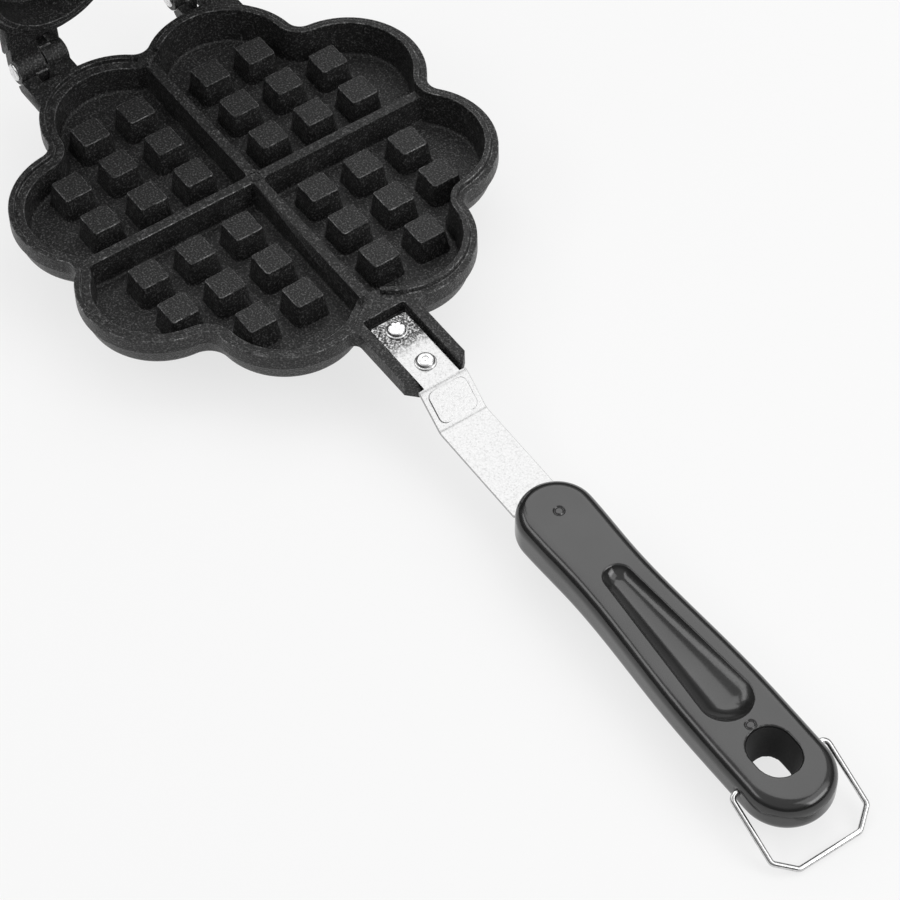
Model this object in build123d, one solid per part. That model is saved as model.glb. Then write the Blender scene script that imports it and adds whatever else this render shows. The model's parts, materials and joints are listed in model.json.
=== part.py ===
from build123d import *
import os
from math import atan, cos, degrees, pi, radians, sin, sqrt, tan

# A stovetop waffle iron that bakes four heart-shaped waffles at once.
# One aluminium casting is used twice. The twin is the same casting turned half round about
# the hinge, so the rib on one half of its rim drops into the step on the other's rim.
# Each casting carries a pressed steel strap, held by two rivets, with a moulded handle on it.
# A wire bail on the lower handle swings over the other handle to lock the iron shut.
#
# Lengths are millimetres and angles are degrees.
# The origin is the middle of the lower casting's underside, +X runs along the lower handle,
# +Y along the hinge and +Z up. The iron stands open, as it does when it is filled: the upper
# half leans back on the stops of its hinge.

# Outline of a casting: eight round lobes, two to each heart
lobe_count = 8
lobe_radius = 29.0
lobe_centre_distance = 57.4
notch_radius = 5.7

# Heights of a casting
floor_thickness = 2.5
stud_height = 9.5
divider_above_studs = 1.0
rim_above_dividers = 1.9
closed_gap = 0.2

# Outside wall of a casting: a straight band at the rim, a small step, then a drafted wall
band_height = 6.1
band_step = 0.8
underside_inset = 3.2
underside_round = 4.0

# Pockets and dividers. A pocket mouth differs between the rib half and the step half
divider_width = 3.8
pocket_floor_inset = 6.3
pocket_corner_radius = 1.6
pocket_floor_round = 1.2
rib_side_mouth = 5.2
step_side_mouth = 5.5

# Rim: a rib on the +Y half, and on the other half the step that takes the twin's rib
rib_height = 1.7
rib_outer_inset = 2.3
rib_draft = 18.0
rib_end_place = 5.0
step_inset = 2.1
step_end_place = 1.0
gate_mark_radius = 2.4
gate_mark_width = 0.6
gate_mark_depth = 0.3

# Studs, three rows each way in a pocket less the one at the notch
stud_rows = 3
stud_pitch = 19.0
stud_first = 15.7
stud_top_side = 11.0
stud_draft = 8.5
stud_corner_radius = 1.2

# Hinge
hinge_distance = 92.2
knuckle_radius = 5.0
knuckle_start = 22.2
knuckle_end = 42.3
knuckle_split = 31.4
knuckle_gap = 0.5
lug_clearance = 0.7
lug_below_hinge = 0.6
lug_thickness = 5.6
lug_slope = 4.1
lug_inner_step = 0.4
lug_outer_step = 0.6
opening_angle = 95.0
stop_heel_width = 4.5
stop_heel_depth = 5.9
stop_gap = 0.1
hinge_pin_radius = 2.0
hinge_head_radius = 3.3
hinge_head_thickness = 1.0
hinge_head_play = 0.1
running_clearance = 0.05

# Channel that takes the strap
channel_start = 79.3
channel_half_width = 8.3
channel_depth = 4.5
channel_wall = 4.1
channel_floor = 2.4
channel_end = 113.3
channel_chamfer = 3.7
channel_end_drop = 1.5
channel_corner_radius = 0.8
channel_fillet = 3.0
strap_below_rim = 2.4
pad_radius = 5.0

# Strap: narrow in the channel, wider from the step, with a pressed panel on the step
strap_thickness = 1.2
strap_start = 81.7
strap_narrow_width = 14.4
strap_width = 19.0
strap_shoulder = 113.8
strap_corner_radius = 1.0
step_start = 114.0
step_length = 12.0
step_drop = 9.2
bend_radius = 3.5
panel_length = 11.6
panel_width = 15.0
panel_corner_radius = 2.5
panel_height = 0.6
handle_droop = 2.0
tang_length = 62.0
tang_width = 14.0
tang_hole_radius = 3.0
tang_hole_places = (20.0, 44.0)
punch_mark_radius = 1.6
punch_mark_width = 0.5
punch_mark_depth = 0.3
punch_mark_place = 93.5

# Rivets through strap and casting
rivet_places = (87.3, 104.3)
rivet_radius = 2.5
rivet_head_radius = 3.8
rivet_head_height = 1.3
rivet_head_round = 0.7
rivet_foot_radius = 4.5
rivet_foot_height = 1.4
rivet_foot_round = 0.6

# Handle, down from its top face. Places are measured from its front or its rear end
handle_start = 39.1
handle_length = 149.2
handle_front_thickness = 16.4
handle_rear_thickness = 13.8
handle_above_strap = 8.6
front_nose_radius = 13.8
waist_place = 38.3
waist_half_width = 13.1
grip_from_rear = 59.4
grip_half_width = 15.5
rear_nose_radius = 15.9
handle_top_round = 4.6
handle_bottom_round = 4.8
groove_front = 46.6
groove_from_rear = 47.1
groove_front_radius = 5.2
groove_rear_radius = 9.3
groove_depth = 4.2
groove_draft = 22.0
groove_floor_round = 3.0
groove_lip_round = 0.8
hang_hole_from_rear = 22.4
hang_hole_length = 19.4
hang_hole_width = 15.4
hang_hole_draft = 10.0
hang_hole_round = 0.8
front_eject_mark = 14.5
eject_mark_from_rear = 34.2
eject_mark_radius = 1.8
eject_mark_width = 0.4
eject_mark_depth = 0.3

# Wire bail
wire_radius = 1.0
bail_from_rear = 19.8
bail_depth = 5.8
bail_side_clearance = 1.8
bail_leg = 23.9
bail_reach = 29.8
bail_bar_half_width = 11.9
bail_bend_radius = 2.2
bail_insert = 5.5
bail_hole_spare = 0.6
bail_rest_angle = 24.7

# Cuts run past the faces that they open by this much
overrun = 1.0

# Places worked out from the sizes above
stud_top = floor_thickness + stud_height
divider_top = stud_top + divider_above_studs
rim_height = divider_top + rim_above_dividers
mating_height = rim_height + closed_gap / 2
channel_bottom = rim_height - channel_depth
boss_low = channel_bottom - channel_floor
strap_top = rim_height - strap_below_rim
strap_low = strap_top - strap_thickness
step_angle = degrees(atan(step_drop / step_length))
notch_distance = lobe_centre_distance * cos(pi / lobe_count) + sqrt(
    (lobe_radius + notch_radius) ** 2 - (lobe_centre_distance * sin(pi / lobe_count)) ** 2
)
rim_reach = lobe_centre_distance * cos(pi / lobe_count) + lobe_radius
grip_place = handle_length - grip_from_rear
groove_rear = handle_length - groove_from_rear
hang_hole_place = handle_length - hang_hole_from_rear
bail_place = handle_length - bail_from_rear
eject_mark_places = (front_eject_mark, handle_length - eject_mark_from_rear)

# The tail frame lies on the strap's upper face at its second bend, along the handle
tail = Pos(step_start + step_length, 0, strap_top - step_drop) * Rot(0, handle_droop, 0)
handle_frame = tail * Pos(handle_start, 0, handle_above_strap)
bail_frame = handle_frame * Pos(bail_place, 0, -bail_depth) * Rot(0, bail_rest_angle, 0)

# The twin casting and all that it carries is turned half round at the hinge, then tipped up
hinge_line = Pos(-hinge_distance, 0, mating_height)
twin = hinge_line * Rot(0, 180 - opening_angle, 0) * Rot(0, 0, 180) * hinge_line.inverse()


def polar_point(radius, angle):
    return Vector(radius * cos(angle), radius * sin(angle), 0)


def point_in(frame, x, z):
    """Point of the upright plane through the handle, given in another frame."""
    return (frame * Pos(x, 0, z)).position


def rosette(inset):
    """Face of the eight-lobed outline, moved inwards by inset."""
    lobe = lobe_radius - inset
    notch = notch_radius + inset
    pitch = 2 * pi / lobe_count
    edges = []
    for number in range(lobe_count):
        angle = (number + 1 / 2) * pitch
        centre = polar_point(lobe_centre_distance, angle)
        before = polar_point(notch_distance, angle - pitch / 2)
        after = polar_point(notch_distance, angle + pitch / 2)
        following = polar_point(lobe_centre_distance, angle + pitch)
        start = centre + (before - centre).normalized() * lobe
        end = centre + (after - centre).normalized() * lobe
        turn = following + (after - following).normalized() * lobe
        edges.append(ThreePointArc(start, polar_point(lobe_centre_distance + lobe, angle), end))
        inner = polar_point(notch_distance - notch, angle + pitch / 2)
        edges.append(ThreePointArc(end, inner, turn))
    return Sketch() + Face(Wire(edges))


def block(x_low, x_high, y_low, y_high, z_low, z_high):
    size = Box(x_high - x_low, y_high - y_low, z_high - z_low)
    return Pos((x_low + x_high) / 2, (y_low + y_high) / 2, (z_low + z_high) / 2) * size


def bar_along_y(radius, x, z, y_low, y_high):
    """Round bar with its axis along Y."""
    bar = Rot(-90, 0, 0) * Cylinder(
        radius, y_high - y_low, align=(Align.CENTER, Align.CENTER, Align.MIN)
    )
    return Pos(x, y_low, z) * bar


def upright(radius, x, y, z_low, z_high):
    """Round bar with its axis along Z."""
    bar = Cylinder(radius, z_high - z_low, align=(Align.CENTER, Align.CENTER, Align.MIN))
    return Pos(x, y, z_low) * bar


def ring_groove(radius, width, depth, x, z):
    """Cutter for a shallow ring pressed into an upper face at height z."""
    outer = upright(radius, x, 0, z - depth, z + overrun)
    return outer - upright(radius - width, x, 0, z - depth, z + overrun)


def shell_body():
    """Outside of the casting up to the rim, with nothing cut out of it."""
    band_low = rim_height - band_height
    draft = degrees(atan((underside_inset - band_step) / band_low))
    wall = extrude(rosette(underside_inset), amount=band_low, taper=-draft)
    under = wall.faces().sort_by(Axis.Z)[0]
    wall = fillet(under.edges(), underside_round)
    band = extrude(Pos(0, 0, band_low) * rosette(0), amount=band_height)
    return wall + band


def mouth_inset(side_y):
    """Inset of the pocket mouths at the height of the divider tops."""
    return rib_side_mouth if side_y > 0 else step_side_mouth


def pocket_draft(side_y):
    drop = divider_top - floor_thickness
    return degrees(atan((pocket_floor_inset - mouth_inset(side_y)) / drop))


def pocket(side_x, side_y):
    """Cutter for one heart, drafted inwards to its floor."""
    side = rim_reach - divider_width / 2
    middle = (rim_reach + divider_width / 2) / 2
    quarter = Pos(side_x * middle, side_y * middle) * Rectangle(side, side)
    mouth = rosette(mouth_inset(side_y)) & quarter
    on_divider = [
        vertex
        for vertex in mouth.vertices()
        if min(abs(vertex.X), abs(vertex.Y)) < divider_width / 2 + pocket_floor_round
    ]
    mouth = fillet(on_divider, pocket_corner_radius)
    cutter = extrude(
        Pos(0, 0, divider_top) * mouth,
        amount=divider_top - floor_thickness,
        dir=(0, 0, -1),
        taper=pocket_draft(side_y),
    )
    floor_edges = cutter.faces().sort_by(Axis.Z)[0].edges()
    cutter = fillet(floor_edges, pocket_floor_round)
    lid = extrude(Pos(0, 0, divider_top) * mouth, amount=overrun)
    return cutter + lid


def half_area(low, high):
    """Rectangle over the whole width of the outline between two places on Y."""
    reach = rim_reach + overrun
    return Pos(0, (low + high) / 2) * Rectangle(2 * reach, high - low)


def rim_steps():
    """Cutters that lower the inside of the rim to the divider tops, one for each half."""
    reach = rim_reach + overrun
    step = rosette(step_inset) & half_area(-reach, -step_end_place)
    step_side = extrude(Pos(0, 0, divider_top) * step, amount=rim_above_dividers + overrun)
    inside = rosette(rib_side_mouth) & half_area(-step_end_place, reach)
    height = rim_above_dividers + rib_height + overrun
    rib_side = extrude(
        Pos(0, 0, divider_top) * inside, amount=height, taper=-pocket_draft(1)
    )
    return step_side, rib_side


def rim_rib():
    """Rib blank on the +Y half. Its inner side is cut with the pockets."""
    reach = rim_reach + overrun
    blank = extrude(
        Pos(0, 0, rim_height) * rosette(rib_outer_inset), amount=rib_height, taper=rib_draft
    )
    kept = extrude(half_area(rib_end_place, reach), amount=rim_height + rib_height)
    rib = blank & kept
    top_inset = rib_outer_inset + rib_height * tan(radians(rib_draft))
    inner_inset = rib_side_mouth - (rim_above_dividers + rib_height) * tan(
        radians(pocket_draft(1))
    )
    end_radius = (inner_inset - top_inset) / 2
    arc_radius = notch_radius + (top_inset + inner_inset) / 2
    end_x = notch_distance - sqrt(arc_radius**2 - rib_end_place**2)
    for x in (-end_x, end_x):
        rib += upright(end_radius, x, rib_end_place, divider_top, rim_height + rib_height)
    return rib


def studs():
    """The drafted studs of all four hearts."""
    base = stud_top_side + 2 * stud_height * tan(radians(stud_draft))
    stud = extrude(
        RectangleRounded(base, base, stud_corner_radius + (base - stud_top_side) / 2),
        amount=stud_height + floor_thickness / 2,
        taper=stud_draft,
    )
    places = []
    for column in range(stud_rows):
        for row in range(stud_rows):
            if column + row < 2 * (stud_rows - 1):
                x = stud_first + column * stud_pitch
                y = stud_first + row * stud_pitch
                places += [(x, y), (-x, y), (x, -y), (-x, -y)]
    return [Pos(x, y, floor_thickness / 2) * stud for x, y in places]


def lug(side):
    """Hinge lug without its knuckle, sloped in front of the barrels. side is the sign of Y."""
    front = knuckle_radius + lug_clearance - hinge_distance
    top = mating_height - lug_below_hinge
    low = top - lug_thickness
    points = [
        (-lobe_centre_distance, low),
        (-lobe_centre_distance, top),
        (front + lug_slope, top),
        (front, top - lug_slope),
        (front, low),
    ]
    profile = Plane.XZ * make_face(Polyline(*points, close=True))
    inner = knuckle_start + lug_inner_step
    outer = knuckle_end + lug_outer_step
    body = extrude(profile, amount=outer - inner, dir=(0, 1, 0))
    return Pos(0, inner if side > 0 else -outer, 0) * body


def knuckle(low, high):
    """Knuckle with its arm, and the heel that stops the other half when the iron is open."""
    stop = knuckle_radius + lug_clearance - stop_gap
    arm_end = knuckle_radius + lug_clearance + lug_slope
    arm = block(0, arm_end, low, high, -knuckle_radius, -lug_below_hinge)
    heel = block(0, stop, low, low + stop_heel_width, 0, stop_heel_depth)
    heel = Rot(0, -opening_angle, 0) * heel
    barrel = bar_along_y(knuckle_radius, 0, 0, low, high)
    return hinge_line * (barrel + arm + heel)


def knuckle_spans():
    """Y ranges of this casting's two knuckles: inner at -Y, outer at +Y."""
    inner = (-(knuckle_split - knuckle_gap / 2), -knuckle_start)
    outer = (knuckle_split + knuckle_gap / 2, knuckle_end)
    return inner, outer


def channel_boss():
    """Block on the handle side that carries the strap, blended into the rim."""
    half = channel_half_width + channel_wall
    reach = channel_end - lobe_centre_distance
    middle = (channel_end + lobe_centre_distance) / 2
    block_area = Pos(middle, 0) * Rectangle(reach, 2 * half)
    block_area = chamfer(block_area.vertices().group_by(Axis.X)[-1], channel_chamfer)
    area = rosette(0) + block_area
    roots = area.vertices().filter_by(lambda v: abs(v.X - rim_reach) < channel_fillet * 2)
    roots = roots.filter_by(lambda v: abs(abs(v.Y) - half) < overrun / 10)
    area = fillet(roots, channel_fillet)
    area &= Pos(middle, 0) * Rectangle(reach, 2 * (half + 2 * channel_fillet))
    solid = extrude(Pos(0, 0, boss_low) * area, amount=rim_height - boss_low)
    under = solid.edges().group_by(Axis.Z)[0]
    outer = [edge for edge in under if edge.center().X > rim_reach + 2 * channel_fillet]
    solid = chamfer(outer, channel_corner_radius)
    slope_start = channel_end - channel_chamfer
    low = rim_height - channel_end_drop * (channel_chamfer + overrun) / channel_chamfer
    profile = make_face(
        Polyline(
            (slope_start, rim_height),
            (channel_end + overrun, low),
            (channel_end + overrun, rim_height),
            close=True,
        )
    )
    return solid - extrude(Plane.XZ * profile, amount=half + overrun, both=True)


def channel_cut():
    """Space in the boss, less the two pads under the strap."""
    space = block(
        channel_start,
        channel_end + overrun,
        -channel_half_width,
        channel_half_width,
        channel_bottom,
        rim_height + overrun,
    )
    corners = space.edges().filter_by(Axis.Z).group_by(Axis.X)[0]
    space = fillet(corners, channel_corner_radius)
    for place in rivet_places:
        space -= upright(pad_radius, place, 0, channel_bottom, strap_low)
    return space


def casting():
    """One waffle plate, as it comes from the mould and the drill."""
    inner_span, outer_span = knuckle_spans()
    solid = shell_body() + lug(-1) + lug(1) + channel_boss()
    solid += knuckle(*inner_span)
    solid += knuckle(*outer_span)
    solid += rim_rib()
    for cutter in rim_steps():
        solid -= cutter
    for side_x in (-1, 1):
        for side_y in (-1, 1):
            solid -= pocket(side_x, side_y)
    solid -= channel_cut()
    solid += studs()
    bore = hinge_pin_radius + running_clearance
    solid -= bar_along_y(bore, -hinge_distance, mating_height, -rim_reach, rim_reach)
    for place in rivet_places:
        solid -= upright(
            rivet_radius + running_clearance, place, 0, boss_low - overrun, rim_height
        )
    solid -= ring_groove(gate_mark_radius, gate_mark_width, gate_mark_depth, 0, divider_top)
    return solid


def strap_profile():
    """Side view of the strap's middle line, from its inner end to the end of the tang."""
    middle = strap_thickness / 2
    second_bend = point_in(tail, 0, -middle)
    tip = point_in(tail, handle_start + tang_length, -middle)
    points = [
        (strap_start, strap_top - middle),
        (step_start, strap_top - middle),
        (second_bend.X, second_bend.Z),
        (tip.X, tip.Z),
    ]
    line = FilletPolyline(*points, radius=bend_radius)
    return trace(line, strap_thickness)


def strap_outline():
    """Top view of the strap: narrow end, shoulders, blade and tang."""
    narrow = strap_narrow_width / 2
    wide = strap_width / 2
    tongue = tang_width / 2
    blade_end = point_in(tail, handle_start, 0).X
    tip = point_in(tail, handle_start + tang_length, 0).X + overrun
    points = [
        (strap_start, -narrow),
        (strap_shoulder, -narrow),
        (strap_shoulder, -wide),
        (blade_end + (wide - tongue), -wide),
        (blade_end + 2 * (wide - tongue), -tongue),
        (tip, -tongue),
        (tip, tongue),
        (blade_end + 2 * (wide - tongue), tongue),
        (blade_end + (wide - tongue), wide),
        (strap_shoulder, wide),
        (strap_shoulder, narrow),
        (strap_start, narrow),
    ]
    face = make_face(Polyline(*points, close=True))
    ends = face.vertices().group_by(Axis.X)[0]
    return fillet(ends, strap_corner_radius)


def strap():
    """The pressed steel strap, with its holes and the panel on its step."""
    sheet = extrude(Plane.XZ * strap_profile(), amount=strap_width / 2, both=True)
    outline = extrude(
        Pos(0, 0, -rim_height) * strap_outline(), amount=2 * (rim_height + strap_top)
    )
    solid = sheet & outline
    slope = Pos(step_start + step_length / 2, 0, strap_top - step_drop / 2) * Rot(
        0, step_angle, 0
    )
    panel_face = RectangleRounded(panel_length, panel_width, panel_corner_radius)
    panel = extrude(panel_face, amount=panel_height)
    pressed = Pos(0, 0, -strap_thickness - overrun) * extrude(
        offset(panel_face, -panel_height), amount=panel_height + overrun
    )
    solid += slope * panel
    solid -= slope * pressed
    for place in rivet_places:
        solid -= upright(
            rivet_radius + running_clearance, place, 0, strap_low - overrun, rim_height
        )
    for place in tang_hole_places:
        hole = upright(tang_hole_radius, handle_start + place, 0, -handle_above_strap, overrun)
        solid -= tail * hole
    solid -= ring_groove(
        punch_mark_radius, punch_mark_width, punch_mark_depth, punch_mark_place, strap_top
    )
    return solid


def rivet(place):
    """Strap rivet: formed head on the strap, flat foot under the boss."""
    shank = upright(rivet_radius, place, 0, boss_low, strap_top)
    head = upright(rivet_head_radius, place, 0, strap_top, strap_top + rivet_head_height)
    head = fillet(head.edges().group_by(Axis.Z)[-1], rivet_head_round)
    foot = upright(rivet_foot_radius, place, 0, boss_low - rivet_foot_height, boss_low)
    foot = fillet(foot.edges().group_by(Axis.Z)[0], rivet_foot_round)
    return shank + head + foot


def handle_outline():
    """Top view of the handle, in its own frame."""
    rear = handle_length - rear_nose_radius
    upper = Spline(
        (front_nose_radius, front_nose_radius),
        (waist_place, waist_half_width),
        (grip_place, grip_half_width),
        (rear, rear_nose_radius),
        tangents=[(1, 0), (1, 0)],
    )
    tail_arc = ThreePointArc((rear, rear_nose_radius), (handle_length, 0), (rear, -rear_nose_radius))
    lower = mirror(upper, Plane.XZ)
    front_arc = ThreePointArc(
        (front_nose_radius, -front_nose_radius), (0, 0), (front_nose_radius, front_nose_radius)
    )
    return make_face([upper.edge(), tail_arc.edge(), lower.edge(), front_arc.edge()])


def thumb_groove():
    """Cutter for the long tapered thumb groove."""
    circles = [
        Pos(groove_front, 0) * Circle(groove_front_radius),
        Pos(groove_rear, 0) * Circle(groove_rear_radius),
    ]
    mouth = make_hull([circle.edge() for circle in circles])
    groove = extrude(mouth, amount=groove_depth, dir=(0, 0, -1), taper=groove_draft)
    floor_edges = groove.faces().sort_by(Axis.Z)[0].edges()
    return fillet(floor_edges, groove_floor_round)


def handle_block():
    """Handle in its own frame, before the strap is let in and the bail holes are drilled."""
    rise = (handle_front_thickness - handle_rear_thickness) / handle_length
    side_view = make_face(
        Polyline(
            (-overrun, 0),
            (-overrun, -handle_front_thickness - rise * overrun),
            (handle_length + overrun, -handle_rear_thickness + rise * overrun),
            (handle_length + overrun, 0),
            close=True,
        )
    )
    solid = extrude(handle_outline(), amount=handle_front_thickness, dir=(0, 0, -1))
    solid &= extrude(Plane.XZ * side_view, amount=2 * rear_nose_radius, both=True)
    solid = fillet(solid.faces().sort_by(Axis.Z)[-1].edges(), handle_top_round)
    solid = fillet(solid.faces().sort_by(Axis.Z)[0].edges(), handle_bottom_round)
    solid -= thumb_groove()
    hole = extrude(
        Pos(hang_hole_place, 0) * SlotOverall(hang_hole_length, hang_hole_width),
        amount=handle_front_thickness + overrun,
        dir=(0, 0, -1),
        taper=hang_hole_draft,
    )
    solid -= hole
    lips = solid.faces().sort_by(Axis.Z)[-1].inner_wires()
    groove_lip, hole_lip = sorted(lips, key=lambda wire: wire.center().X)
    solid = fillet(hole_lip.edges(), hang_hole_round)
    solid = fillet(groove_lip.edges(), groove_lip_round)
    for place in eject_mark_places:
        solid -= ring_groove(eject_mark_radius, eject_mark_width, eject_mark_depth, place, 0)
    return solid


def handle(strap_solid, with_bail):
    """Moulded handle around the strap's tang, in the lower iron's place."""
    solid = handle_frame * handle_block() - strap_solid
    if with_bail:
        reach = rear_nose_radius + overrun
        depth = rear_nose_radius - bail_insert - bail_hole_spare
        drill = wire_radius + running_clearance
        for low, high in ((-reach, -depth), (depth, reach)):
            hole = bar_along_y(drill, bail_place, -bail_depth, low, high)
            solid -= handle_frame * hole
    return solid


def bail():
    """Wire loop, flat in its own plane, with its two ends turned inwards."""
    leg_y = rear_nose_radius + bail_side_clearance + wire_radius
    end_y = rear_nose_radius - bail_insert
    half = [
        (0, end_y),
        (0, leg_y),
        (bail_leg, leg_y),
        (bail_reach, bail_bar_half_width),
    ]
    points = [(x, -y) for x, y in half] + [(x, y) for x, y in reversed(half)]
    path = FilletPolyline(*points, radius=bail_bend_radius)
    section = Plane(origin=path @ 0, z_dir=path % 0) * Circle(wire_radius)
    return bail_frame * sweep(section, path=path)


def hinge_pin(side):
    """Hinge pin with a head at each end, outside the knuckles."""
    first = knuckle_start - hinge_head_play
    last = knuckle_end + hinge_head_play
    low, high = sorted((side * first, side * last))
    shank = bar_along_y(hinge_pin_radius, -hinge_distance, mating_height, low, high)
    heads = []
    for start, end in ((low - hinge_head_thickness, low), (high, high + hinge_head_thickness)):
        heads.append(
            bar_along_y(hinge_head_radius, -hinge_distance, mating_height, start, end)
        )
    return shank + heads


def save(shape, name):
    export_step(shape, f"parts/{name}.step")
    print(name, round(shape.volume), "mm3")


os.makedirs("parts", exist_ok=True)

plate = casting()
strap_piece = strap()
lower_handle = handle(strap_piece, True)
upper_handle = twin * handle(strap_piece, False)

save(plate, "lower_plate")
save(twin * plate, "upper_plate")
save(strap_piece, "lower_strap")
save(twin * strap_piece, "upper_strap")
save(lower_handle, "lower_handle")
save(upper_handle, "upper_handle")
for name, place in zip(("inner", "outer"), rivet_places):
    save(rivet(place), f"lower_{name}_rivet")
    save(twin * rivet(place), f"upper_{name}_rivet")
save(hinge_pin(-1), "left_hinge_pin")
save(hinge_pin(1), "right_hinge_pin")
save(bail(), "wire_bail")
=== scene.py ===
# %% [markdown]
# # A stovetop waffle iron
#
# The iron is two identical castings that hinge together, each with a steel strap and a moulded
# handle. The solids were built elsewhere, to size, and arrive here as a frame of separate parts.
# This lesson dresses them: it gives each part its soft edges, its small made details and its
# finish. Everything is in metres, the solids keep their places, and +Z is up.

# %% Load the frame
import json
import math

import bmesh
import bpy
from mathutils import Matrix, Vector
from mathutils.bvhtree import BVHTree

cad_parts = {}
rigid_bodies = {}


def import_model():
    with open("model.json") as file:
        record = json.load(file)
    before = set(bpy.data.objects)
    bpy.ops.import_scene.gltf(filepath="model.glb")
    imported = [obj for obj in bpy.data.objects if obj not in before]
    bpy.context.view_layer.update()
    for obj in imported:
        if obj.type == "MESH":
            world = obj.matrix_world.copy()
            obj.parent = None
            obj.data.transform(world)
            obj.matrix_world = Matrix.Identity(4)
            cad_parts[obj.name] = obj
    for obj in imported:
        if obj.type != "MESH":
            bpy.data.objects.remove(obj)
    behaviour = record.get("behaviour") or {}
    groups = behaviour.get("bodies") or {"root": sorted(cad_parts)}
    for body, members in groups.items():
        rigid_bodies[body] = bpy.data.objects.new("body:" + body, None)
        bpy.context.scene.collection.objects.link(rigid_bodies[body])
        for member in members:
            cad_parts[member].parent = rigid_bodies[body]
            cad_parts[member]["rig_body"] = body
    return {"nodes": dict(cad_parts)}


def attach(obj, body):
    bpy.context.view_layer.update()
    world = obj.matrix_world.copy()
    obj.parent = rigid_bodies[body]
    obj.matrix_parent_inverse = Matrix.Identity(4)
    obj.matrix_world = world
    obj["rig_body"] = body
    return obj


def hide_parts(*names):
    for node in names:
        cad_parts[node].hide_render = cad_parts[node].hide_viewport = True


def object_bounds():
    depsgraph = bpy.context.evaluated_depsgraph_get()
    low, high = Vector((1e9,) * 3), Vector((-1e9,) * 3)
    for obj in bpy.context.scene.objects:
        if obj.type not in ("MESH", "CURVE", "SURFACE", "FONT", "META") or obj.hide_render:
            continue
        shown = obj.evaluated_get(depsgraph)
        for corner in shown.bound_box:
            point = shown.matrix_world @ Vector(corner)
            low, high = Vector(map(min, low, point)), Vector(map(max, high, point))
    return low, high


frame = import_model()
cad_box = [list(corner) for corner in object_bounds()]
nodes = frame["nodes"]
print("parts in the frame:", ", ".join(sorted(nodes)))

# %% [markdown]
# ## The camera
#
# A product photograph of a long object is taken from some distance with a long lens, so that
# the near end doesn't look swollen. Blender's camera looks along its own -Z with +Y up in the
# picture. It could be turned by three angles or made to track a target. Its three axes can also
# be typed in as the columns of a matrix, which is the most direct way when the directions are
# already known, as they are here.

# %% Place the camera
MM = 0.001
CAMERA_AT = Vector((759.94, -427.75, 922.23)) * MM
LENS, SENSOR = 144, 36
picture_right = Vector((0.57336936, 0.81907303, -0.01915603))
picture_up = Vector((-0.62712749, 0.45380893, 0.63306284))
towards_camera = picture_right.cross(picture_up)

camera_data = bpy.data.cameras.new("studio_camera")
camera_data.lens = LENS
camera_data.sensor_width = SENSOR
camera_data.clip_start = 0.05
camera_data.clip_end = 40
camera = bpy.data.objects.new("studio_camera", camera_data)
bpy.context.scene.collection.objects.link(camera)
axes = Matrix((picture_right, picture_up, towards_camera)).transposed().to_4x4()
camera.matrix_world = Matrix.Translation(CAMERA_AT) @ axes
bpy.context.scene.camera = camera
bpy.context.scene.view_settings.view_transform = "Standard"
print("the camera is", round(camera.matrix_world.translation.length, 3), "m from the origin")

# %% [markdown]
# ## Where the twin half goes
#
# The upper half is the lower half turned half round about the hinge and then leant back, as it
# stands while the batter is poured. A parent object could turn a copy into place, but each piece
# here keeps its place in its own mesh. One matrix says the whole turn. Any detail that is
# modelled once, flat on the lower half, can be carried over with it.

# %% The matrix of the twin half
HINGE_X, HINGE_Z = -92.2, 15  # millimetres
OPENING = 95  # degrees from closed
hinge_point = Vector((HINGE_X * MM, 0, HINGE_Z * MM))
lean = math.radians(180 - OPENING)
half_turn = Matrix.Rotation(math.pi, 4, "Z")
to_hinge = Matrix.Translation(hinge_point)
twin = to_hinge @ Matrix.Rotation(lean, 4, "Y") @ half_turn @ to_hinge.inverted()
lower_place = Matrix.Identity(4)
print("the twin's middle is at", [round(value, 4) for value in twin.translation])

# %% [markdown]
# ## Writing node trees by hand
#
# Materials and Geometry Nodes are both trees of nodes. They can be drawn in the editor, but a
# tree that is written can be read, repeated and changed by a number. One small helper is enough
# to write either kind: it adds a node, sets its options, and fills its inputs with a number or
# with the output of an earlier node.

# %% A helper that adds a node
def add_node(tree, kind, inputs=None, **options):
    node = tree.nodes.new(kind)
    for name, value in options.items():
        setattr(node, name, value)
    for name, value in (inputs or {}).items():
        if isinstance(value, bpy.types.NodeSocket):
            tree.links.new(value, node.inputs[name])
        else:
            node.inputs[name].default_value = value
    return node


def maths(tree, operation, *values):
    node = add_node(tree, "ShaderNodeMath", dict(enumerate(values)), operation=operation)
    return node.outputs[0]


# %% A helper that starts a material
def start_material(name, roughness, **inputs):
    """New material with one shader. Returns the material, its tree and the shader.

    The roughness is what a viewer shows that can't read the nodes that are linked to it later.
    """
    material = bpy.data.materials.new(name)
    material.use_nodes = True
    tree = material.node_tree
    shader = tree.nodes["Principled BSDF"]
    shader.inputs["Roughness"].default_value = roughness
    for key, value in inputs.items():
        shader.inputs[key.replace("_", " ")].default_value = value
    return material, tree, shader


# %% Helpers for the place and the grain of a pattern
NOISE_RANGE = (0.3, 0.7)  # nearly all of a noise's values lie in it


def place_pattern(tree, turn=lower_place):
    """Object coordinates, brought back to the lower half's frame for a part of the twin."""
    coordinates = add_node(tree, "ShaderNodeTexCoord").outputs["Object"]
    if turn == lower_place:
        return coordinates
    back = turn.inverted()
    return add_node(
        tree,
        "ShaderNodeMapping",
        {"Vector": coordinates, "Location": back.translation, "Rotation": back.to_euler()},
    ).outputs["Vector"]


def grain(tree, place, scale, detail=2.0, roughness=0.5):
    return add_node(
        tree,
        "ShaderNodeTexNoise",
        {"Vector": place, "Scale": scale, "Detail": detail, "Roughness": roughness},
    ).outputs["Fac"]


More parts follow.
